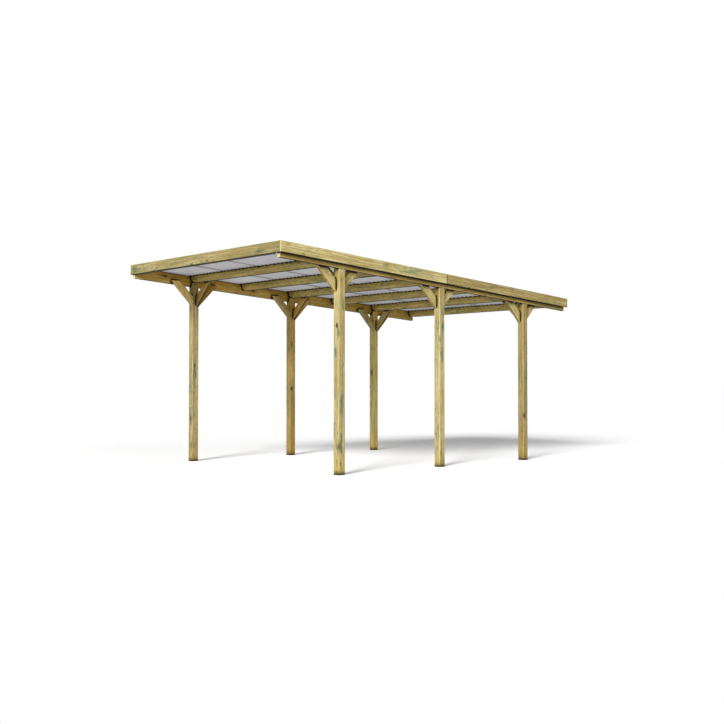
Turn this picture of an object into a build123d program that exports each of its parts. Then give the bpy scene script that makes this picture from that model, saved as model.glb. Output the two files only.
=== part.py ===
from build123d import *
import math
import os

os.makedirs("parts", exist_ok=True)

# Open carport in sawn pine. X runs across, the front faces -Y, and the ground is at Z zero
# The origin is on the ground midway between the two middle posts

# Posts
post_width = 90
post_arris_radius = 5
head_bevel_width = 3
row_spacing = 2833
bay = 1636

# Sloping roof line, taken along the top of the edge boards
front_edge_top = 2489
rear_edge_top = 2179

# Timbers
timber = 45
timber_arris_radius = 3
beam_depth = 140
rafter_depth = 90
rafter_bevel_length = 90
rafter_bevel_height = 40
beam_nose = 11
beam_tail = 47
beam_joint_gap = 2

# Braces
brace_depth = 90
brace_drop = 127
brace_angle = 45
brace_bevel_width = 3

# Edge boards and the strips they are fixed to
board = 18
board_height = 120
board_arris_radius = 2
strip_height = 45
strip_thickness = 25
board_joint_offset = 45
board_joint_gap = 10
board_end_gap = 1.5
board_tail = 27

# Wavy roof sheets
wave_pitch = 76
wave_height = 18
sheet_thickness = 1.5
sheet_room = 30
sheet_waves = [11, 8, 14, 6]
lap_waves = 1
lap_gap = 0.2
sheet_end_gap = 3

# Room by which a cut runs past the piece it is made in
cut_overrun = 50

# Levels and lines that follow from the sizes above
half_post = post_width / 2
half_row = row_spacing / 2
half_bay = bay / 2
beam_outer = half_row + half_post
beam_inner = beam_outer - timber
post_inner = half_row - half_post
rafter_line = -(bay + half_bay + half_post)
beam_front = rafter_line - beam_nose
front_edge = beam_front - board
last_rafter_back = bay + half_bay
beam_rear = last_rafter_back + beam_tail
rear_edge = beam_rear + board_tail
fall = (front_edge_top - rear_edge_top) / (rear_edge - front_edge)
fall_angle = math.atan(fall)
lap = beam_depth - rafter_depth
board_inner = beam_outer + strip_thickness
brace_thickness = post_width - timber
brace_slope = math.radians(brace_angle)


def edge_top(y):
    return front_edge_top - fall * (y - front_edge)


def timber_top(y):
    return edge_top(y) - sheet_room


def beam_bottom(y):
    return timber_top(y) - beam_depth


def rafter_bottom(y):
    return timber_top(y) - rafter_depth


def save(piece, name):
    piece.part.label = name
    export_step(piece.part, f"parts/{name}.step")


# A stick seen from the side: a band under the roof line between two plumb cuts
def sloping_band(top, depth, y_start, y_end):
    Polyline(
        (y_start, top(y_start)),
        (y_end, top(y_end)),
        (y_end, top(y_end) - depth),
        (y_start, top(y_start) - depth),
        close=True,
    )


# Post with its head notched: the outer half carries the beam on a shoulder with bevelled edges,
# and the inner half rises behind it
def make_post(name, side, y):
    x = side * half_row
    head = rafter_bottom(y - half_post)
    cut_reach = half_post + cut_overrun
    with BuildPart() as post:
        with BuildSketch(Plane.XY):
            with Locations((x, y)):
                RectangleRounded(post_width, post_width, post_arris_radius)
        extrude(amount=head)
        with BuildSketch(Plane.YZ.offset(side * post_inner)):
            with BuildLine():
                sloping_band(timber_top, rafter_depth, y - cut_reach, y + cut_reach)
            make_face()
        extrude(amount=side * (post_width + cut_overrun), mode=Mode.SUBTRACT)
        with BuildSketch(Plane.YZ.offset(side * beam_inner)):
            with BuildLine():
                sloping_band(timber_top, beam_depth, y - cut_reach, y + cut_reach)
            make_face()
        extrude(amount=side * (post_width + cut_overrun), mode=Mode.SUBTRACT)
        facing_up = post.faces().sort_by(lambda face: face.normal_at().Z)[-2:]
        shoulder = facing_up.sort_by(Axis.Z)[0]
        free_edges = shoulder.edges().sort_by(lambda edge: side * edge.center().X)[1:]
        chamfer(free_edges, head_bevel_width)
    save(post, name)


# Side beam lying along the slope in the notches of its posts
def make_beam(name, side, y_start, y_end):
    with BuildPart() as beam:
        with BuildSketch(Plane.YZ.offset(side * beam_inner)):
            with BuildLine():
                sloping_band(timber_top, beam_depth, y_start, y_end)
            make_face()
        extrude(amount=side * timber)
        fillet(beam.edges().sort_by(SortBy.LENGTH)[-4:], radius=timber_arris_radius)
    save(beam, name)


# Rafter between the beams, its top level with theirs and its lower corners bevelled at both ends
def make_rafter(name, y_front):
    bottom = rafter_bottom(y_front)
    bevel_start = beam_inner - rafter_bevel_length
    with BuildPart() as rafter:
        with BuildSketch(Plane.YZ.offset(-beam_inner)):
            with BuildLine():
                sloping_band(timber_top, rafter_depth, y_front, y_front + timber)
            make_face()
        extrude(amount=2 * beam_inner)
        fillet(rafter.edges().sort_by(SortBy.LENGTH)[-4:], radius=timber_arris_radius)
        for side in (-1, 1):
            with BuildSketch(Plane.XZ.offset(-y_front - timber)):
                with BuildLine():
                    Polyline(
                        (side * beam_inner, bottom + rafter_bevel_height),
                        (side * bevel_start, bottom),
                        (side * bevel_start, bottom - cut_overrun),
                        (side * beam_inner, bottom - cut_overrun),
                        close=True,
                    )
                make_face()
            extrude(amount=timber, mode=Mode.SUBTRACT)
    save(rafter, name)


# Corners of a slanting brace: a plumb cut on the post and a level cut at the upper end
def brace_outline(foot, away, seat, head):
    low = seat - brace_drop - brace_depth / math.cos(brace_slope)
    high = seat - brace_drop
    return [
        (foot, low),
        (foot, high),
        (foot + away * (head - high) / math.tan(brace_slope), head),
        (foot + away * (head - low) / math.tan(brace_slope), head),
    ]


# Brace along the beam, lapped on the beam's inner face and flush with the inside of the post
def make_side_brace(name, side, y, away):
    foot = y + away * half_post
    seat = beam_bottom(foot)
    head = beam_bottom(foot + away * (brace_drop + lap) / math.tan(brace_slope)) + lap
    length_axis = Axis((0, 0, 0), (0, away * math.cos(brace_slope), math.sin(brace_slope)))
    with BuildPart() as brace:
        with BuildSketch(Plane.YZ.offset(side * post_inner)):
            with BuildLine():
                Polyline(*brace_outline(foot, away, seat, head), close=True)
            make_face()
        extrude(amount=side * brace_thickness)
        chamfer(brace.edges().filter_by(length_axis), brace_bevel_width)
    save(brace, name)


# Brace across the carport, lapped on the back of the rafter and flush with the back of the post
def make_cross_brace(name, side, y):
    foot = side * post_inner
    rafter_back = y - half_post + timber
    seat = beam_bottom(rafter_back)
    head = rafter_bottom(rafter_back) + lap
    length_axis = Axis((0, 0, 0), (-side * math.cos(brace_slope), 0, math.sin(brace_slope)))
    with BuildPart() as brace:
        with BuildSketch(Plane.XZ.offset(-rafter_back)):
            with BuildLine():
                Polyline(*brace_outline(foot, -side, seat, head), close=True)
            make_face()
        extrude(amount=-brace_thickness)
        chamfer(brace.edges().filter_by(length_axis), brace_bevel_width)
    save(brace, name)


# Edge board along one side, standing above the beam to hide the ends of the waves
def make_side_board(name, side, y_start, y_end):
    with BuildPart() as side_board:
        with BuildSketch(Plane.YZ.offset(side * board_inner)):
            with BuildLine():
                sloping_band(edge_top, board_height, y_start, y_end)
            make_face()
        extrude(amount=side * board)
        fillet(side_board.edges().sort_by(SortBy.LENGTH)[-4:], radius=board_arris_radius)
    save(side_board, name)


# Wave drawn as equal arcs that meet tangent to each other
wave_rise = (wave_height - sheet_thickness) / 2
quarter_wave = wave_pitch / 4
half_wave = wave_pitch / 2
wave_radius = (quarter_wave**2 + wave_rise**2) / (2 * wave_rise)
wave_angle = math.asin(quarter_wave / wave_radius)
lap_lift = sheet_thickness / math.cos(wave_angle) + lap_gap


# Points of one skin of the sheet, skin being half the thickness above or below its middle line
def wave_skin(x_start, halves, skin, level):
    points = []
    for step in range(halves):
        up = 1 if step % 2 == 0 else -1
        x = x_start + step * half_wave
        points.append((x - up * skin * math.sin(wave_angle), level + skin * math.cos(wave_angle)))
        points.append((x + quarter_wave, level + up * wave_rise + skin))
    up = 1 if halves % 2 == 0 else -1
    x = x_start + halves * half_wave
    points.append((x - up * skin * math.sin(wave_angle), level + skin * math.cos(wave_angle)))
    return points


# Roof sheet running with the fall, resting on the rafters in its troughs
def make_sheet(name, x_start, waves, lift):
    sheet_rear = rear_edge - sheet_end_gap
    sheet_front = beam_front + sheet_end_gap
    level = wave_height / 2 + lift
    slope_length = (sheet_rear - sheet_front) / math.cos(fall_angle)
    roof_end = Plane(
        origin=(0, sheet_rear, timber_top(sheet_rear)),
        x_dir=(1, 0, 0),
        z_dir=(0, -math.cos(fall_angle), math.sin(fall_angle)),
    )
    upper = wave_skin(x_start, 2 * waves, sheet_thickness / 2, level)
    lower = wave_skin(x_start, 2 * waves, -sheet_thickness / 2, level)
    with BuildPart() as sheet:
        with BuildSketch(roof_end):
            with BuildLine():
                for start in range(0, len(upper) - 1, 2):
                    ThreePointArc(upper[start], upper[start + 1], upper[start + 2])
                    ThreePointArc(lower[start], lower[start + 1], lower[start + 2])
                Line(upper[0], lower[0])
                Line(upper[-1], lower[-1])
            make_face()
        extrude(amount=slope_length)
    save(sheet, name)


sides = {"left": -1, "right": 1}
post_rows = {"front": -bay, "middle": 0, "rear": bay}

for side_name, side in sides.items():
    for row_name, y in post_rows.items():
        make_post(f"post_{row_name}_{side_name}", side, y)
        make_side_brace(f"brace_{row_name}_{side_name}_forward", side, y, -1)
        make_side_brace(f"brace_{row_name}_{side_name}_backward", side, y, 1)
        make_cross_brace(f"brace_{row_name}_{side_name}_inward", side, y)

    half_gap = beam_joint_gap / 2
    make_beam(f"beam_{side_name}_front", side, beam_front, -half_gap)
    make_beam(f"beam_{side_name}_rear", side, half_gap, beam_rear)

    half_gap = board_joint_gap / 2
    make_side_board(f"fascia_{side_name}_front", side, front_edge, board_joint_offset - half_gap)
    make_side_board(f"fascia_{side_name}_rear", side, board_joint_offset + half_gap, rear_edge)

make_rafter("rafter_front", beam_front)
for number in range(1, 7):
    make_rafter(f"rafter_{number}", rafter_line + number * half_bay)

# Front edge board between the two side boards, against the ends of the beams and the front rafter
with BuildPart() as fascia_front:
    with BuildSketch(Plane.XZ.offset(-beam_front)):
        with BuildLine():
            Polyline(
                (-board_inner + board_end_gap, front_edge_top),
                (board_inner - board_end_gap, front_edge_top),
                (board_inner - board_end_gap, front_edge_top - board_height),
                (-board_inner + board_end_gap, front_edge_top - board_height),
                close=True,
            )
        make_face()
    extrude(amount=board)
    fillet(fascia_front.edges().sort_by(SortBy.LENGTH)[-4:], radius=board_arris_radius)
save(fascia_front, "fascia_front")

# Strips that hold the side boards off the beams, level with the beams at the top
with BuildPart() as fascia_strips:
    for side in sides.values():
        with BuildSketch(Plane.YZ.offset(side * beam_outer)):
            with BuildLine():
                sloping_band(timber_top, strip_height, beam_front, beam_rear)
            make_face()
        extrude(amount=side * strip_thickness)
save(fascia_strips, "fascia_strips")

# Four sheets side by side, every second one lapped over its neighbours
sheet_start = -sum(sheet_waves) * wave_pitch / 2
for number, waves in enumerate(sheet_waves):
    over = number % 2
    last = number == len(sheet_waves) - 1
    before = lap_waves if over else 0
    after = lap_waves if over and not last else 0
    x_start = sheet_start - before * wave_pitch
    make_sheet(f"roof_sheet_{number + 1}", x_start, waves + before + after, over * lap_lift)
    sheet_start = sheet_start + waves * wave_pitch
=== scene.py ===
import math
import random

import bmesh
import bpy
from mathutils import Matrix, Vector


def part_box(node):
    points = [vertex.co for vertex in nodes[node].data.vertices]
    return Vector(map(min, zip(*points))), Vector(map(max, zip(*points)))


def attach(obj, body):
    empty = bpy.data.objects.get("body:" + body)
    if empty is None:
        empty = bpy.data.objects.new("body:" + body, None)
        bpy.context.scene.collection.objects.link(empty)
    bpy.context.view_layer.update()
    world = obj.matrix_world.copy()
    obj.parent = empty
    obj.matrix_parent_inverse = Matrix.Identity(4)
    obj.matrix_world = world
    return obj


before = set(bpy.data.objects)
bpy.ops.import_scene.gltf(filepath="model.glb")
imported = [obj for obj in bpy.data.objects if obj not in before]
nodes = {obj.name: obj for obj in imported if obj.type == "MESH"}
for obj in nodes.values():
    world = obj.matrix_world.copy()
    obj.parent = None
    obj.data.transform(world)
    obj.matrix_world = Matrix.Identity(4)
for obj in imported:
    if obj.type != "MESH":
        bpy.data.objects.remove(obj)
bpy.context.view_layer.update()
scene = bpy.context.scene
scene.view_settings.view_transform = "Standard"
dice = random.Random(41)


# Makes one shader node, sets its properties and fills its sockets with links or values
def node(tree, kind, sockets=None, **props):
    made = tree.nodes.new(kind)
    for key, value in props.items():
        setattr(made, key, value)
    for key, value in (sockets or {}).items():
        if isinstance(value, bpy.types.NodeSocket):
            tree.links.new(value, made.inputs[key])
        else:
            made.inputs[key].default_value = value
    return made


def math_node(tree, operation, a, b=0.0):
    return node(tree, "ShaderNodeMath", {0: a, 1: b}, operation=operation).outputs[0]


def plus(tree, a, b):
    return math_node(tree, "ADD", a, b)


def minus(tree, a, b):
    return math_node(tree, "SUBTRACT", a, b)


def times(tree, a, b):
    return math_node(tree, "MULTIPLY", a, b)


def larger(tree, a, b):
    return math_node(tree, "MAXIMUM", a, b)


# Smooth step from one value to another between two limits
def ramp(tree, value, low, high, start=0.0, end=1.0):
    sockets = {"Value": value, "From Min": low, "From Max": high, "To Min": start, "To Max": end}
    return node(tree, "ShaderNodeMapRange", sockets, interpolation_type="SMOOTHSTEP").outputs["Result"]


def mix(tree, factor, a, b, blend="MIX"):
    made = node(tree, "ShaderNodeMix", {"Factor": factor}, data_type="RGBA", blend_type=blend)
    for index, value in ((6, a), (7, b)):
        if isinstance(value, bpy.types.NodeSocket):
            tree.links.new(value, made.inputs[index])
        else:
            made.inputs[index].default_value = (*value, 1.0)
    return made.outputs[2]


# Colour multiplied by a tint, as far as the factor says
def tinted(tree, factor, colour, tint):
    return mix(tree, factor, colour, mix(tree, 1.0, colour, tint, "MULTIPLY"))


def dot(tree, a, b):
    return node(tree, "ShaderNodeVectorMath", {0: a, 1: b}, operation="DOT_PRODUCT").outputs["Value"]


def difference(tree, a, b):
    return node(tree, "ShaderNodeVectorMath", {0: a, 1: b}, operation="SUBTRACT").outputs["Vector"]


def stretched(tree, vector, scale):
    return node(tree, "ShaderNodeVectorMath", {0: vector, 1: scale}, operation="MULTIPLY").outputs["Vector"]


def parts_of(tree, vector):
    return node(tree, "ShaderNodeSeparateXYZ", {0: vector}).outputs


def noise(tree, vector, scale, detail=3.0, roughness=0.6, distortion=0.0):
    sockets = {"Vector": stretched(tree, vector, scale), "Scale": 1.0, "Detail": detail,
               "Roughness": roughness, "Distortion": distortion}
    return node(tree, "ShaderNodeTexNoise", sockets).outputs["Fac"]


# Openness of a point: one in the open, less where other surfaces stand within the distance
def openness(tree, distance):
    return node(tree, "ShaderNodeAmbientOcclusion", {"Distance": distance}, samples=8).outputs["AO"]


def object_place(tree):
    return node(tree, "ShaderNodeTexCoord").outputs["Object"]


def surface_normal(tree):
    return node(tree, "ShaderNodeNewGeometry").outputs["Normal"]


# New material with its node tree and its shader
def new_material(name):
    material = bpy.data.materials.new(name)
    material.use_nodes = True
    return material, material.node_tree, material.node_tree.nodes["Principled BSDF"]


# Colours of treated pine
PALE = (0.90, 0.77, 0.42)
TAN = (0.69, 0.55, 0.225)
OLIVE = (0.50, 0.42, 0.165)
ORANGE = (0.76, 0.47, 0.155)
BROWN = (0.32, 0.21, 0.055)
TEAL = (0.09, 0.20, 0.13)
KNOT = (0.06, 0.04, 0.015)
SAWN = (0.90, 0.80, 0.45)
FOOT_DARK = (0.10, 0.085, 0.05)

# Tints of wood greyer low down, and of painted shade near other parts, in hollows, on undersides and in
# seams
GREYED = (0.50, 0.53, 0.53)
NEAR_OTHERS = (0.62, 0.62, 0.52)
HOLLOW = (1.0, 0.86, 0.45)
DEEP_SHADE = (0.07, 0.05, 0.02)
SEAM_AND_EDGE_SHADE = (0.03, 0.022, 0.01)

# Growth of the pine, and the length by which one seed shifts a stick along its tree
rings_per_metre = 165.0
seed_shift = 7.31


# Inputs and outputs of the pine group
def pine_sockets(group):
    inputs = {
        "NodeSocketVector": ("Grain", "Side", "Up", "Centre", "Pith"),
        "NodeSocketFloat": ("Seed", "Stain", "Knots", "Foot", "Grey Below", "Grey", "Edge", "Placed Stain",
                            "Placed Knot", "Seam", "Under Start"),
        "NodeSocketColor": ("Tone", "Under"),
    }
    for kind, names in inputs.items():
        for name in names:
            group.interface.new_socket(name, in_out="INPUT", socket_type=kind)
    group.interface.new_socket("Color", in_out="OUTPUT", socket_type="NodeSocketColor")
    group.interface.new_socket("Roughness", in_out="OUTPUT", socket_type="NodeSocketFloat")
    group.interface.new_socket("Height", in_out="OUTPUT", socket_type="NodeSocketFloat")


# Place within the stick along the grain, across it and up, and the height above the ground
def stick_place(group, given):
    place = object_place(group)
    local = difference(group, place, given["Centre"])
    along, side, up = (dot(group, local, given[name]) for name in ("Grain", "Side", "Up"))
    shifted = plus(group, along, times(group, given["Seed"], seed_shift))
    spot = node(group, "ShaderNodeCombineXYZ", {"X": shifted, "Y": side, "Z": up}).outputs["Vector"]
    return spot, side, up, parts_of(group, place)["Z"]


# Core and rim of the knots: stretched cells of which only some hold a knot, and the listed knots
def knot_fields(group, spot, given):
    cell_place = stretched(group, spot, (2.8, 7.0, 7.0))
    cells = node(group, "ShaderNodeTexVoronoi", {"Vector": cell_place, "Scale": 1.0}).outputs
    pick = node(group, "ShaderNodeSeparateColor", {0: cells["Color"]}).outputs[0]
    has_knot = math_node(group, "LESS_THAN", pick, given["Knots"])
    ragged = noise(group, spot, (60, 60, 60))
    reach = plus(group, cells["Distance"], times(group, ragged, 0.06))
    core = times(group, ramp(group, reach, 0.16, 0.10), has_knot)
    rim = times(group, ramp(group, reach, 0.32, 0.14), has_knot)
    by_eye = plus(group, given["Placed Knot"], times(group, ragged, 0.3))
    core = larger(group, core, ramp(group, by_eye, 0.65, 0.80))
    rim = larger(group, rim, ramp(group, by_eye, 0.32, 0.75))
    return core, rim


# Dark part of the growth rings, which bend slowly along the stick and swing round the knots
def latewood(group, spot, side, up, knot_rim, given):
    slow_bend = times(group, minus(group, noise(group, spot, (1.1, 4, 4), 2.0), 0.5), 0.09)
    quick_bend = times(group, minus(group, noise(group, spot, (7, 14, 14), 2.0), 0.5), 0.014)
    pith = parts_of(group, given["Pith"])
    across = plus(group, minus(group, side, pith["Y"]), slow_bend)
    above = plus(group, minus(group, up, pith["Z"]), quick_bend)
    square = plus(group, times(group, across, across), times(group, above, above))
    radius = plus(group, math_node(group, "SQRT", square), times(group, knot_rim, 0.007))
    ring = math_node(group, "FRACT", times(group, radius, rings_per_metre))
    return times(group, ramp(group, ring, 0.25, 0.88), ramp(group, ring, 1.0, 0.93))


# Noises drawn out along the grain, from broad bands to single fibres
def grain_fields(group, spot):
    return {
        "broad": noise(group, spot, (0.8, 7, 7), 2.0),
        "band": noise(group, spot, (1.0, 38, 38)),
        "streak": noise(group, spot, (2.4, 85, 85)),
        "speck": noise(group, spot, (18, 110, 110), 2.0),
        "fibre": noise(group, spot, (10, 420, 420)),
    }


# Colour of the bare wood, laid on in layers
def bare_wood(group, grain, late):
    colour = mix(group, ramp(group, grain["broad"], 0.36, 0.64), TAN, OLIVE)
    layers = (
        (ramp(group, grain["band"], 0.50, 0.66), 0.65, PALE),
        (ramp(group, grain["band"], 0.50, 0.36), 0.50, ORANGE),
        (late, 0.58, BROWN),
        (ramp(group, grain["streak"], 0.50, 0.66), 0.72, BROWN),
        (ramp(group, grain["streak"], 0.48, 0.34), 0.60, PALE),
        (ramp(group, grain["speck"], 0.54, 0.72), 0.30, BROWN),
        (ramp(group, grain["speck"], 0.46, 0.28), 0.30, PALE),
        (ramp(group, grain["fibre"], 0.40, 0.75), 0.25, PALE),
    )
    for share, amount, shade in layers:
        colour = mix(group, times(group, share, amount), colour, shade)
    return colour


# Green of the treatment, lying in streaks and round the knots, and the knots themselves
def treated(group, colour, spot, knot_core, knot_rim, given):
    patch = noise(group, spot, (0.9, 6, 6), 2.0)
    wet = noise(group, spot, (11, 95, 95), 3.0, 0.55, 0.6)
    wet = plus(group, wet, times(group, minus(group, patch, 0.5), 0.5))
    wet = plus(group, wet, times(group, knot_rim, 0.12))
    wet = plus(group, wet, times(group, given["Placed Stain"], 0.17))
    green = times(group, ramp(group, wet, 0.60, 0.68), given["Stain"])
    colour = mix(group, green, colour, TEAL)
    colour = mix(group, times(group, knot_rim, 0.40), colour, BROWN)
    return mix(group, times(group, knot_core, 0.92), colour, KNOT)


# Sawn ends show the rings on pale wood, and arrises are painted pale, as wear and as a painted highlight,
# but not where they face down
def ends_and_arrises(group, colour, late, band, normal, tilt, given):
    axes = [given[name] for name in ("Grain", "Side", "Up")]
    facing = [math_node(group, "ABSOLUTE", dot(group, normal, axis)) for axis in axes]
    end = ramp(group, facing[0], 0.62, 0.82)
    flattest = larger(group, facing[0], larger(group, facing[1], facing[2]))
    arris = ramp(group, flattest, 0.97, 0.86)
    sawn = mix(group, times(group, late, 0.50), SAWN, OLIVE)
    colour = mix(group, end, colour, sawn)
    worn_and_highlit = times(group, arris, ramp(group, band, 0.30, 0.60, 0.35, 0.85))
    worn_and_highlit = times(group, worn_and_highlit, ramp(group, tilt, -0.62, -0.45))
    return mix(group, times(group, worn_and_highlit, minus(group, 1.0, end)), colour, PALE)


# Some sticks are greyer low down, and the feet are darker
def darker_low_down(group, colour, streak, height, given):
    grey_reach = minus(group, given["Grey Below"], height)
    grey = times(group, ramp(group, grey_reach, 0.0, 0.6), given["Grey"])
    colour = tinted(group, grey, colour, GREYED)
    drawn = plus(group, height, times(group, minus(group, streak, 0.5), 0.03))
    foot_dark = times(group, ramp(group, drawn, 0.058, 0.004), given["Foot"])
    return mix(group, times(group, foot_dark, 0.70), colour, FOOT_DARK)


# Painted shade: browner near other parts and in hollows, darker on undersides, near black in seams and at
# the lower edges of boards
def painted_shade(group, colour, tilt, up, given):
    close = ramp(group, openness(group, 0.14), 0.90, 0.50)
    colour = tinted(group, close, colour, NEAR_OTHERS)
    hollow = ramp(group, openness(group, 0.50), 0.95, 0.30)
    colour = tinted(group, hollow, colour, HOLLOW)
    fall = minus(group, times(group, tilt, -1.0), given["Under Start"])
    colour = tinted(group, ramp(group, fall, 0.0, 0.10), colour, given["Under"])
    seam = ramp(group, openness(group, given["Seam"]), 0.90, 0.70)
    lower_edge = ramp(group, plus(group, up, given["Edge"]), 0.007, 0.001)
    return tinted(group, larger(group, seam, lower_edge), colour, SEAM_AND_EDGE_SHADE)


# Pine as a solid: growth rings round a pith line, fibres, knots, green stain, arrises painted pale as
# highlight and wear, and painted shade in corners
def pine_group():
    group = bpy.data.node_groups.new("pine", "ShaderNodeTree")
    pine_sockets(group)
    given = group.nodes.new("NodeGroupInput").outputs
    result = group.nodes.new("NodeGroupOutput").inputs
    spot, side, up, height = stick_place(group, given)
    normal = surface_normal(group)
    tilt = parts_of(group, normal)["Z"]
    knot_core, knot_rim = knot_fields(group, spot, given)
    late = latewood(group, spot, side, up, knot_rim, given)
    grain = grain_fields(group, spot)

    colour = bare_wood(group, grain, late)
    colour = treated(group, colour, spot, knot_core, knot_rim, given)
    colour = mix(group, 1.0, colour, given["Tone"], "MULTIPLY")
    colour = ends_and_arrises(group, colour, late, grain["band"], normal, tilt, given)
    colour = darker_low_down(group, colour, grain["streak"], height, given)
    colour = painted_shade(group, colour, tilt, up, given)

    rough = minus(group, 0.82, times(group, late, 0.16))
    rough = minus(group, rough, times(group, knot_core, 0.20))
    relief = plus(group, times(group, grain["fibre"], 0.55), times(group, late, 0.45))
    relief = minus(group, relief, times(group, knot_core, 0.6))
    group.links.new(colour, result["Color"])
    group.links.new(rough, result["Roughness"])
    group.links.new(relief, result["Height"])
    return group


pine = pine_group()

# Knots and green marks that stand out, placed one by one: face, distance from the left edge of that face,
# height above the ground, half width and half height in metres, and strength
placed_knots = {
    "post_front_right": [("front", 0.055, 1.64, 0.040, 0.060, 1.0)],
    "post_rear_right": [("right", 0.018, 0.585, 0.050, 0.080, 1.0)],
    "post_front_left": [("right", 0.028, 1.24, 0.025, 0.045, 1.0)],
    "post_middle_left": [("right", 0.025, 0.94, 0.040, 0.060, 1.0)],
    "fascia_front": [("front", 1.655, 2.395, 0.030, 0.022, 1.0)],
}
placed_stains = {
    "post_front_right": [
        ("front", 0.075, 1.555, 0.03, 0.08, 2.4),
        ("right", 0.060, 1.89, 0.03, 0.13, 1.5),
        ("front", 0.032, 1.355, 0.03, 0.09, 1.5),
        ("right", 0.044, 0.76, 0.05, 0.20, 1.75),
        ("right", 0.037, 0.38, 0.03, 0.28, 1.5),
    ],
    "post_middle_right": [
        ("right", 0.055, 1.685, 0.03, 0.11, 1.9),
        ("right", 0.0, 1.545, 0.03, 0.07, 1.5),
        ("right", 0.042, 1.355, 0.04, 0.16, 1.8),
    ],
    "post_front_left": [("right", 0.031, 1.15, 0.03, 0.22, 1.5)],
    "fascia_front": [
        ("front", 2.62, 2.41, 0.13, 0.05, 1.8),
        ("front", 1.74, 2.475, 0.13, 0.02, 0.85),
        ("front", 0.085, 2.425, 0.10, 0.07, 0.85),
    ],
    "fascia_right_front": [
        ("right", 0.30, 2.37, 0.05, 0.02, 0.85),
        ("right", 1.07, 2.36, 0.05, 0.02, 0.85),
        ("right", 1.93, 2.31, 0.34, 0.06, 0.85),
        ("right", 2.285, 2.28, 0.14, 0.03, 0.85),
    ],
}
mark_depth = 0.035

# Posts that are greyer low down: height where it begins, and strength
greyed = {
    "post_middle_left": (1.38, 1.0),
    "post_rear_left": (0.98, 0.5),
    "post_front_left": (0.68, 0.35),
}


# Strength of the placed marks at a point: most at a mark's middle, nothing past its reach
def placed(tree, name, marks):
    low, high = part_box(name)
    place = object_place(tree)
    strength = 0.0
    for face, across, height, wide, tall, most in marks:
        if face == "front":
            middle, reach = (low.x + across, low.y, height), (wide, mark_depth, tall)
        else:
            middle, reach = (high.x, low.y + across, height), (mark_depth, wide, tall)
        share = stretched(tree, difference(tree, place, middle), [1 / length for length in reach])
        distance = node(tree, "ShaderNodeVectorMath", {0: share}, operation="LENGTH").outputs["Value"]
        strength = larger(tree, strength, ramp(tree, distance, 1.0, 0.0, 0.0, most))
    return strength


# Facing down at which the painted shade on undersides begins: sooner on level sticks than on slanting ones
level_under_start = 0.35
slanting_under_start = 0.60


# One stick's own timber, cut from its own tree along its own line
def timber(name, grain, up, pith, tone, stain=0.8, knots=0.30, foot=0.0, seam=0.05, under=None, wet=0.0,
           edge=1.0):
    low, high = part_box(name)
    grain = Vector(grain).normalized()
    side = Vector(up).cross(grain).normalized()
    up = grain.cross(side).normalized()
    grey_below, grey = greyed.get(name, (0, 0))
    material, tree, shader = new_material("pine_" + name)
    made = node(tree, "ShaderNodeGroup", node_tree=pine)
    values = {
        "Grain": grain, "Side": side, "Up": up, "Centre": (low + high) / 2,
        "Pith": (0.0, pith[0] * dice.choice((-1, 1)), pith[1] * dice.choice((-1, 1))),
        "Seed": dice.uniform(0.0, 9.0), "Stain": stain * dice.uniform(0.7, 1.2),
        "Knots": knots * dice.uniform(0.7, 1.3), "Foot": foot, "Tone": (*tone, 1.0),
        "Grey Below": grey_below, "Grey": grey, "Edge": edge, "Placed Stain": wet, "Seam": seam,
        "Under Start": level_under_start if under is None else slanting_under_start,
        "Under": (*(under or DEEP_SHADE), 1.0),
    }
    for key, value in values.items():
        made.inputs[key].default_value = value
    for key, marks in (("Placed Stain", placed_stains), ("Placed Knot", placed_knots)):
        if name in marks:
            tree.links.new(placed(tree, name, marks[name]), made.inputs[key])
    tree.links.new(made.outputs["Color"], shader.inputs["Base Color"])
    tree.links.new(made.outputs["Roughness"], shader.inputs["Roughness"])
    relief = {"Height": made.outputs["Height"], "Strength": 0.5, "Distance": 0.0012}
    bump = node(tree, "ShaderNodeBump", relief)
    tree.links.new(bump.outputs["Normal"], shader.inputs["Normal"])
    shader.inputs["Specular IOR Level"].default_value = 0.25
    nodes[name].data.materials.clear()
    nodes[name].data.materials.append(material)


# Corners of a piece's mesh at its front end and at its rear end
def end_corners(name):
    low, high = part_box(name)
    near = 0.001
    corners = [vertex.co for vertex in nodes[name].data.vertices]
    return [[corner for corner in corners if abs(corner.y - y) < near] for y in (low.y, high.y)]


# Fall of the roof, along the top of the right edge board
edge_front, edge_rear = (
    max(corners, key=lambda corner: corner.z) for corners in end_corners("fascia_right_front")
)
slope = (edge_rear.z - edge_front.z) / (edge_rear.y - edge_front.y)
down_roof = (0.0, 1.0, slope)

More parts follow.
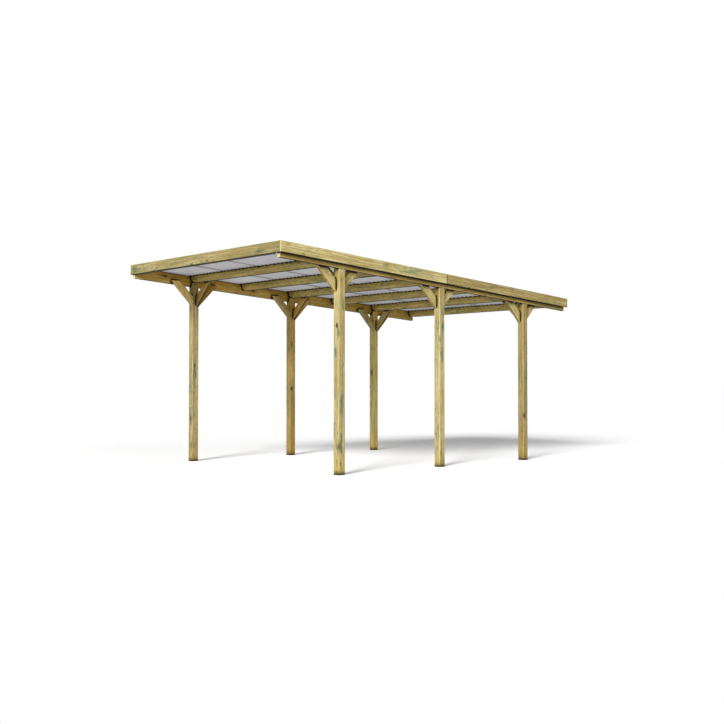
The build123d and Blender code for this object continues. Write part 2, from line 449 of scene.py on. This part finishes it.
# Tone of each kind of stick, and of the sticks that stand out from their kind: partly their own tone, partly
# painted light and shade where light falls on them differently
kind_tones = {
    "post": (1.0, 1.0, 1.0),
    "beam": (0.98, 0.90, 0.62),
    "rafter": (1.20, 1.27, 1.23),
    "brace": (1.04, 1.05, 1.0),
    "fascia": (1.12, 1.17, 1.16),
}
own_tones_and_painted_light = {
    "beam_left_front": (1.14, 1.03, 0.70),
    "beam_left_rear": (1.10, 1.0, 0.68),
    "brace_front_right_forward": (1.16, 1.17, 1.12),
    "brace_front_right_backward": (1.01, 0.95, 0.80),
    "brace_front_left_forward": (1.70, 1.58, 1.38),
    "brace_front_left_backward": (0.80, 0.62, 0.28),
    "brace_front_left_inward": (0.95, 0.82, 0.52),
    "brace_middle_left_inward": (1.15, 0.97, 0.62),
    "brace_middle_left_forward": (0.98, 0.92, 0.78),
    "post_middle_right": (0.94, 0.97, 1.0),
    "post_rear_right": (0.66, 0.64, 0.56),
    "post_front_left": (0.92, 0.91, 0.94),
    "post_middle_left": (1.24, 1.08, 0.70),
    "post_rear_left": (1.42, 1.44, 1.20),
    "fascia_front": (0.67, 0.70, 0.68),
    "fascia_right_rear": (0.80, 0.77, 0.66),
    "fascia_left_rear": (0.74, 0.71, 0.66),
}

# Painted shade on the undersides of braces, which slant: along the sides and across the carport
side_brace_under = (0.80, 0.74, 0.60)
cross_brace_under = (0.32, 0.25, 0.11)

# Half the height of the edge boards, whose lower edge is painted dark as shade
board_low, board_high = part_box("fascia_front")
half_board = (board_high.z - board_low.z) / 2


def dress_brace(name, tone):
    away = {"forward": (0, -1, 1), "backward": (0, 1, 1), "inward": (1 if "left" in name else -1, 0, 1)}
    direction = name.split("_")[-1]
    across = (0, 1, 0) if direction == "inward" else (1, 0, 0)
    under = cross_brace_under if direction == "inward" else side_brace_under
    timber(name, away[direction], across, (0.05, 0.03), tone, seam=0.03, under=under, wet=0.2)


# Gives a stick its timber, with the grain along its length
def dress_stick(name):
    kind = name.split("_")[0]
    tone = own_tones_and_painted_light.get(name, kind_tones[kind])
    edge = half_board if kind == "fascia" and name != "fascia_strips" else 1.0
    if kind == "post":
        timber(name, (0, 0, 1), (0, 1, 0), (0.03, 0.02), tone, 0.95, 0.34, 1.0, seam=0.03)
    elif kind == "rafter" or name == "fascia_front":
        timber(name, (1, 0, 0), (0, 0, 1), (0.05, 0.03), tone, 0.9, seam=0.02, wet=0.3, edge=edge)
    elif kind == "brace":
        dress_brace(name, tone)
    else:
        timber(name, down_roof, (0, 0, 1), (0.06, 0.025), tone, 0.7, seam=0.045, edge=edge)


for name in nodes:
    if name.split("_")[0] in kind_tones:
        dress_stick(name)

# Shades of the milky sheet: clear, dusty and clouded, and its painted shade in laps, wave hollows and over
# rafters
CLEAR_SHEET = (0.83, 0.82, 0.885)
DUSTY_SHEET = (0.745, 0.745, 0.78)
CLOUDED_SHEET = (0.81, 0.80, 0.885)
LAP_SHADE = (0.50, 0.49, 0.49)
WAVE_HOLLOW_SHADE = (0.72, 0.71, 0.71)
RAFTER_SHADE = (0.02, 0.018, 0.015)


# Laps are painted darker as shade, most of all from below
def lapped(tree, colour, x, below, laps):
    soft_edge = 0.006
    lap_strength = ramp(tree, below, 0.0, 1.0, 0.35, 1.0)
    for low, high in laps:
        past_low = ramp(tree, x, low - soft_edge, low + soft_edge)
        within = times(tree, past_low, ramp(tree, x, high + soft_edge, high - soft_edge))
        colour = tinted(tree, times(tree, within, lap_strength), colour, LAP_SHADE)
    return colour


# Seen from below the hollows of the waves get painted shade, and painted shade lies dark over each rafter
# and just behind it
def shaded_below(tree, colour, y, z, below, spans, trough):
    rise = minus(tree, z, times(tree, minus(tree, y, trough.y), slope))
    hollow = ramp(tree, minus(tree, rise, trough.z), 0.003, 0.016)
    colour = tinted(tree, times(tree, hollow, below), colour, WAVE_HOLLOW_SHADE)
    for front, back in spans:
        past_front = ramp(tree, y, front - 0.045, front - 0.015)
        over = times(tree, past_front, ramp(tree, y, back + 0.11, back + 0.04))
        colour = tinted(tree, times(tree, over, below), colour, RAFTER_SHADE)
    return colour


# Roof sheet: milky plastic that lets light through, with faint dust in streaks along the waves
def sheet_material(laps, spans, trough):
    material, tree, shader = new_material("milky_sheet")
    place = object_place(tree)
    x, y, z = parts_of(tree, place)
    below = math_node(tree, "LESS_THAN", parts_of(tree, surface_normal(tree))["Z"], 0.0)
    dust = noise(tree, place, (30, 1.2, 30), 4.0)
    cloud = noise(tree, place, (2.2, 1.4, 2.2))
    colour = mix(tree, ramp(tree, dust, 0.35, 0.75), CLEAR_SHEET, DUSTY_SHEET)
    colour = mix(tree, times(tree, ramp(tree, cloud, 0.4, 0.7), 0.4), colour, CLOUDED_SHEET)
    colour = lapped(tree, colour, x, below, laps)
    colour = shaded_below(tree, colour, y, z, below, spans, trough)
    tree.links.new(colour, shader.inputs["Base Color"])
    tree.links.new(ramp(tree, dust, 0.3, 0.8, 0.30, 0.48), shader.inputs["Roughness"])
    shader.inputs["Subsurface Weight"].default_value = 1.0
    shader.inputs["Subsurface Radius"].default_value = (1.0, 1.0, 1.0)
    shader.inputs["Subsurface Scale"].default_value = 0.003
    return material


# Where one sheet lies on the next, two thicknesses let less light through, so the laps are painted darker as
# shade
sheets = [nodes[name] for name in nodes if name.startswith("roof_sheet")]
sheets.sort(key=lambda sheet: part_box(sheet.name)[0].x)
laps = [(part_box(right.name)[0].x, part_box(left.name)[1].x) for left, right in zip(sheets, sheets[1:])]
rafter_boxes = [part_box(name) for name in nodes if name.startswith("rafter")]
trough = min(end_corners(sheets[0].name)[0], key=lambda corner: corner.z)
milky = sheet_material(laps, [(low.y, high.y) for low, high in rafter_boxes], trough)
for sheet in sheets:
    sheet.data.materials.clear()
    sheet.data.materials.append(milky)


# Material whose colour and roughness both wander between two values
def speckled_material(name, scale, light, dark, smooth, rough):
    material, tree, shader = new_material(name)
    speck = noise(tree, object_place(tree), (scale, scale, scale))
    tree.links.new(mix(tree, speck, light, dark), shader.inputs["Base Color"])
    tree.links.new(ramp(tree, speck, 0.3, 0.7, smooth, rough), shader.inputs["Roughness"])
    return material, shader


# Steel of the screws
def steel_material(name, light, dark):
    material, shader = speckled_material(name, 900, light, dark, 0.30, 0.55)
    shader.inputs["Metallic"].default_value = 1.0
    return material


zinc = steel_material("zinc", (0.62, 0.62, 0.60), (0.36, 0.36, 0.34))
dark_steel = steel_material("dark_steel", (0.10, 0.10, 0.09), (0.05, 0.05, 0.045))


# Adds a turned shape to a mesh: rings of (radius, height, lobe depth), from the middle outwards
def turn(mesh, rings, turns, matrix, lobes=6):
    middle = mesh.verts.new(matrix @ Vector((0, 0, rings[0][1])))
    before = None
    for radius, height, lobe in rings:
        ring = []
        for step in range(turns):
            angle = math.tau * step / turns
            out = radius * (1 + lobe * math.cos(lobes * angle))
            point = Vector((out * math.cos(angle), out * math.sin(angle), height))
            ring.append(mesh.verts.new(matrix @ point))
        for step in range(turns):
            after = (step + 1) % turns
            if before is None:
                mesh.faces.new((middle, ring[step], ring[after]))
            else:
                mesh.faces.new((before[step], ring[step], ring[after], before[after]))
        before = ring


# Puts a finished mesh into the scene as a piece of the carport
def piece(mesh, name, material):
    for face in mesh.faces:
        face.smooth = True
    data = bpy.data.meshes.new(name)
    mesh.to_mesh(data)
    mesh.free()
    made = bpy.data.objects.new(name, data)
    scene.collection.objects.link(made)
    data.materials.append(material)
    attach(made, "root")


def standing_on(place, normal):
    return Matrix.Translation(place) @ Vector(normal).to_track_quat("Z", "Y").to_matrix().to_4x4()


# Screw head sunk in the wood, with a star recess: radius and height in metres, and lobe depth
star_screw = [
    (0.0028, -0.0010, 0.14),
    (0.0031, 0.0006, 0.14),
    (0.0054, 0.0009, 0.0),
    (0.0066, 0.0006, 0.0),
    (0.0068, -0.0004, 0.0),
]
star_turns = 24
screw_drop = 0.050
screw_inset = 0.022


# Four screws across the front board, halfway up it
def add_front_screws():
    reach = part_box("beam_right_front")[1].x - screw_inset
    height = (board_low.z + board_high.z) / 2
    mesh = bmesh.new()
    for share in (-1.0, -1 / 3, 1 / 3, 1.0):
        place = (share * reach, board_low.y, height)
        turn(mesh, star_screw, star_turns, standing_on(place, (0, -1, 0)))
    piece(mesh, "front_board_screws", dark_steel)


# One screw at each rafter along the side boards
def add_side_screws():
    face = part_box("fascia_right_front")[1].x
    mesh = bmesh.new()
    for number in range(1, 7):
        low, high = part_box(f"rafter_{number}")
        y = (low.y + high.y) / 2
        z = edge_front.z + slope * (y - edge_front.y) - screw_drop
        for side in (-1, 1):
            turn(mesh, star_screw, star_turns, standing_on((side * face, y, z), (side, 0, 0)))
    piece(mesh, "side_board_screws", zinc)


add_front_screws()
add_side_screws()

# Roof screws with their soft caps: radius and height in metres, and lobe depth
cap_rings = [(0.0050, 0.0040, 0.0), (0.0085, 0.0036, 0.0), (0.0115, 0.0018, 0.0), (0.0125, -0.0008, 0.0)]
head_rings = [(0.0030, 0.0078, 0.0), (0.0043, 0.0074, 0.06), (0.0048, 0.0066, 0.06), (0.0048, 0.0036, 0.06)]
cap_turns = 16
head_turns = 12
wave_pitch = 0.076
crest_step = 3
above_roof = 4.0


# Highest sheet surface at a place, and its normal
def roof_at(x, y):
    hits = [sheet.ray_cast(Vector((x, y, above_roof)), Vector((0, 0, -1))) for sheet in sheets]
    top = max((hit for hit in hits if hit[0]), key=lambda hit: hit[1].z)
    return top[1], top[2]


# Roof screws on every third crest over each rafter
def add_roof_screws():
    roof_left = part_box(sheets[0].name)[0].x
    roof_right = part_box(sheets[-1].name)[1].x
    crests = round((roof_right - roof_left) / wave_pitch)
    first_crest = (roof_left + roof_right) / 2 - crests * wave_pitch / 2 + wave_pitch / 4
    caps = bmesh.new()
    heads = bmesh.new()
    for low, high in rafter_boxes:
        for number in range(1, crests, crest_step):
            place, normal = roof_at(first_crest + number * wave_pitch, (low.y + high.y) / 2)
            turn(caps, cap_rings, cap_turns, standing_on(place, normal))
            turn(heads, head_rings, head_turns, standing_on(place, normal))
    light, dark = (0.66, 0.66, 0.68), (0.50, 0.50, 0.50)
    cap_plastic, _ = speckled_material("cap_plastic", 140, light, dark, 0.35, 0.60)
    piece(caps, "roof_screw_caps", cap_plastic)
    piece(heads, "roof_screw_heads", zinc)


add_roof_screws()


# True for the rays that show the surroundings: from the camera, a gloss or through glass
def seen_by_eye(tree):
    path = node(tree, "ShaderNodeLightPath").outputs
    mirrored = larger(tree, path["Is Glossy Ray"], path["Is Transmission Ray"])
    return larger(tree, path["Is Camera Ray"], mirrored)


def even_grey(level):
    return (level, level, level, 1)


# Floor: white to the eye, and it keeps the shadow
def make_floor():
    reach = 400.0
    below_feet = 0.0005
    mesh = bpy.data.meshes.new("floor")
    corners = [(-reach, -reach, 0), (reach, -reach, 0), (reach, reach, 0), (-reach, reach, 0)]
    mesh.from_pydata(corners, [], [(0, 1, 2, 3)])
    floor = bpy.data.objects.new("floor", mesh)
    scene.collection.objects.link(floor)
    floor.location.z = -below_feet
    material = bpy.data.materials.new("floor")
    material.use_nodes = True
    tree = material.node_tree
    tree.nodes.clear()
    plain = node(tree, "ShaderNodeBsdfDiffuse", {"Color": even_grey(0.80)}).outputs[0]
    white = node(tree, "ShaderNodeBsdfDiffuse", {"Color": even_grey(1.61)}).outputs[0]
    both = node(tree, "ShaderNodeMixShader", {0: seen_by_eye(tree), 1: plain, 2: white}).outputs[0]
    node(tree, "ShaderNodeOutputMaterial", {"Surface": both})
    mesh.materials.append(material)


# White studio around it, which lights it softly
def make_studio():
    world = bpy.data.worlds.new("studio")
    scene.world = world
    world.use_nodes = True
    tree = world.node_tree
    tree.nodes.clear()
    soft = node(tree, "ShaderNodeBackground", {"Color": even_grey(1), "Strength": 0.195}).outputs[0]
    white = node(tree, "ShaderNodeBackground", {"Color": even_grey(1), "Strength": 1.0}).outputs[0]
    both = node(tree, "ShaderNodeMixShader", {0: seen_by_eye(tree), 1: soft, 2: white}).outputs[0]
    node(tree, "ShaderNodeOutputWorld", {"Surface": both})


# Sun lamp given by the direction it shines from: degrees from the front towards the right, and upwards
def sun(name, azimuth, elevation, strength, angle):
    lamp = bpy.data.lights.new(name, "SUN")
    lamp.energy = strength
    lamp.angle = math.radians(angle)
    lamp_object = bpy.data.objects.new(name, lamp)
    scene.collection.objects.link(lamp_object)
    lamp_object.rotation_euler = (math.radians(90 - elevation), 0, math.radians(azimuth))


# Camera at the photograph's viewpoint, in metres and degrees
def make_camera():
    viewpoint = (9.6232, -9.0605, 0.9788)
    upward = 1.348
    turned = 46.573
    data = bpy.data.cameras.new("camera")
    data.lens = 50
    data.sensor_width = 36
    camera = bpy.data.objects.new("camera", data)
    scene.collection.objects.link(camera)
    camera.location = viewpoint
    camera.rotation_euler = (math.radians(90 + upward), 0, math.radians(turned))
    scene.camera = camera


make_floor()
make_studio()
sun("key", 25, 26, 2.75, 18)
sun("fill", 75, 15, 0.55, 60)
make_camera()
